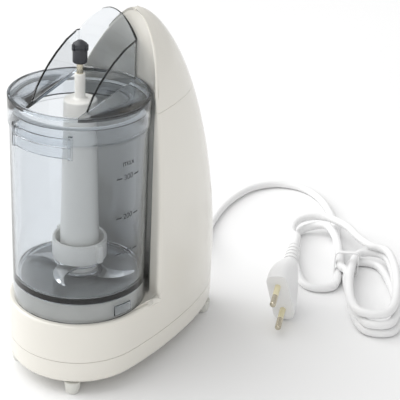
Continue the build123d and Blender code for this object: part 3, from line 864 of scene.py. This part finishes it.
# Mains lead: the route's points, then the turns of the two loops of the hank, then the way to the plug
lead = dict(width=5.6, low=2.9, layer=5.8,
            start=((-14, 112.3, 23), (-22.5, 126, 22.3), (-31, 139, 18), (-40.5, 152, 11.5), (-51, 167, 5.5),
                   (-64, 188, 2.9), (-75, 211, 2.9), (-82, 236, 2.9), (-83, 259, 2.9), (-73, 278, 2.9),
                   (-53, 286, 2.9), (-31, 279, 2.9), (-11, 264, 2.9), (5, 250, 2.9)),
            finish=((36, 232, 14.6), (24, 240, 13.6), (12.5, 244, 12.6), (1, 244.8, 12), (-8.5, 239.5, 11.8),
                    (-13, 228.5, 11.5), (-10.5, 217.5, 11.6), (-5.2, 209, 12.6), (0, 202.8, 14.2),
                    (5.5, 196.9, 17.2), (11.5, 190.8, 21.2), (18.5, 184, 25.5), (24.6, 176.4, 28),
                    (29, 169, 27.3)),
            loops=((22, 204, 43, 16.2), (80.6, 190.4, 47.5, 16.2)), lean=-50.0, step=24.0)


def loopPoint(loop, phase, height, wander):
    cx, cy, long, short = lead["loops"][loop]
    a = math.radians(phase)
    straight = (long - short) * min(max(1.5 * math.cos(a), -1), 1)
    out = straight + short * math.cos(a) + 2.5 * wander
    x, y = turned(out, short * math.sin(a), lead["lean"] + 5.0 * wander)
    return cx + x, cy + y, height


def climb(turns, *ramps):
    level = 0.0
    for start, end, change in ramps:
        t = min(max((turns - start) / (end - start), 0), 1)
        level += change * t * t * (3 - 2 * t)
    return lead["low"] + lead["layer"] * level


def hankPoints():
    points = []
    for n in range(18):
        turns = n * lead["step"] / 360
        wander = 0.6 * math.sin(turns * 2.7)
        points.append(loopPoint(0, 115 - n * lead["step"], climb(turns, (0.70, 0.95, 1)), wander))
    for n in range(43):
        turns = n * lead["step"] / 360
        wander = math.sin(turns * 2.2) * min(turns * 1.6, 1)
        height = climb(turns, (0.0, 0.25, -1), (0.95, 1.2, 1), (1.95, 2.2, 1)) + lead["layer"]
        points.append(loopPoint(1, 250 + n * lead["step"], height, wander))
    return points


def leadCurve():
    curve = bpy.data.curves.new("mainsLead", "CURVE")
    curve.dimensions = "3D"
    spline = curve.splines.new("NURBS")
    route = list(lead["start"]) + hankPoints() + list(lead["finish"])
    spline.points.add(len(route) - 1)
    for point, p in zip(spline.points, route):
        point.co = (*place(*p), 1)
    spline.order_u = 3
    spline.use_endpoint_u = True
    spline.resolution_u = 8
    return newObject("mainsLead", curve)


def curveLength(obj):
    depsgraph = bpy.context.evaluated_depsgraph_get()
    depsgraph.update()
    line = bpy.data.meshes.new_from_object(obj.evaluated_get(depsgraph))
    ends = [(line.vertices[e.vertices[0]].co, line.vertices[e.vertices[1]].co) for e in line.edges]
    length = sum((a - b).length for a, b in ends)
    bpy.data.meshes.remove(line)
    return length


mainsLead = leadCurve()
print("lead length", round(curveLength(mainsLead), 3))
mainsLead.data.bevel_depth = lead["width"] / 2 * mm
mainsLead.data.bevel_resolution = 5
mainsLead.data.use_fill_caps = True
mainsLead.data.materials.append(vinyl)
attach(mainsLead, "root")
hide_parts("power_lead", "plug_lead", "cord_hank")

for nodeName, finish in (("plug_body", vinyl), ("plug_pins", pinMetal), ("plug_sleeves", sleeveNylon),
                         ("cord_bushing", vinyl)):
    nodes[nodeName].data.materials.clear()
    nodes[nodeName].data.materials.append(finish)

# Tie: a narrow band pulled round the bundle where the loops touch
tie = dict(at=(49, 203), lean=-50.0, across=8.4, low=0.1, high=18.2, wide=3.0, thick=0.9, corner=3.4)


def tieBand():
    corners = [(-tie["across"], tie["low"]), (tie["across"], tie["low"]), (tie["across"], tie["high"]),
               (-tie["across"], tie["high"])]
    outline = roundCorners(corners, tie["corner"], 8)
    middle = Vector((0, (tie["low"] + tie["high"]) / 2))
    points = []
    for v, z in outline:
        inward = (middle - Vector((v, z))).normalized() * tie["thick"]
        for along, depth in ((-0.5, 0), (0.5, 0), (0.5, 1), (-0.5, 1)):
            x, y = turned(along * tie["wide"], v + inward.x * depth, tie["lean"])
            points.append((tie["at"][0] + x, tie["at"][1] + y, z + inward.y * depth))
    count = len(outline)
    faces = [(n * 4 + i, (n + 1) % count * 4 + i, (n + 1) % count * 4 + (i + 1) % 4, n * 4 + (i + 1) % 4)
             for n in range(count) for i in range(4)]
    return meshPiece("cordTie", points, faces)


cordTie = finishPiece(tieBand(), vinyl, "root", "white_flex", "cord_tie")
print("lead laid")

# Floor, light and camera
studio = dict(world=0.66, camera=(490.5, -441.6, 436.0), forward=(-0.59966, 0.66599, -0.44370),
              right=(0.72781, 0.68439, 0.04362), lens=115.0, sun=1.85, sunAngle=70.0,
              sunAim=(0.62, 0.42, -0.85), floorHalf=6)
floorMesh = bpy.data.meshes.new("floor")
half = studio["floorHalf"]
floorCorners = [(-half, -half, 0), (half, -half, 0), (half, half, 0), (-half, half, 0)]
floorMesh.from_pydata(floorCorners, [], [(0, 1, 2, 3)])
floor = newObject("floor", floorMesh)
floorPaint, floorTree, floorShader = newMaterial("floorPaint", (0.86, 0.86, 0.86), 0.7)
varyColor(floorTree, floorShader, noiseOn(floorTree, 2, 2), (0.85, 0.85, 0.85), (0.87, 0.87, 0.87))
floorMesh.materials.append(floorPaint)

world = bpy.data.worlds.new("studio")
world.use_nodes = True
world.node_tree.nodes["Background"].inputs["Color"].default_value = (1, 1, 1, 1)
world.node_tree.nodes["Background"].inputs["Strength"].default_value = studio["world"]
bpy.context.scene.world = world

sunData = bpy.data.lights.new("sun", "SUN")
sunData.energy = studio["sun"]
sunData.angle = math.radians(studio["sunAngle"])
sun = bpy.data.objects.new("sun", sunData)
bpy.context.scene.collection.objects.link(sun)
sun.rotation_euler = Vector(studio["sunAim"]).to_track_quat("-Z", "Y").to_euler()


def softLight(name, at, towards, size, power):
    data = bpy.data.lights.new(name, "AREA")
    data.shape = "RECTANGLE"
    data.size, data.size_y = size
    data.energy = power
    lamp = bpy.data.objects.new(name, data)
    bpy.context.scene.collection.objects.link(lamp)
    lamp.location = at
    lamp.rotation_euler = (Vector(towards) - Vector(at)).to_track_quat("-Z", "Y").to_euler()


softLight("frontWindow", (0.75, -1.2, 0.75), (0, 0, 0.12), (0.35, 0.8), 2.5)
softLight("leftWindow", (-1.1, -0.5, 0.8), (0, 0, 0.12), (0.5, 0.9), 3.5)

cameraData = bpy.data.cameras.new("camera")
cameraData.lens = studio["lens"]
cameraData.sensor_width = 36.0
cameraData.clip_start = 0.01
camera = bpy.data.objects.new("camera", cameraData)
bpy.context.scene.collection.objects.link(camera)
forward, right = Vector(studio["forward"]).normalized(), Vector(studio["right"]).normalized()
up = right.cross(forward)
facing = Matrix((right, up, -forward)).transposed().to_4x4()
camera.matrix_world = Matrix.Translation(place(*studio["camera"])) @ facing
bpy.context.scene.camera = camera
bpy.context.scene.view_settings.view_transform = "Standard"

print("stage set")
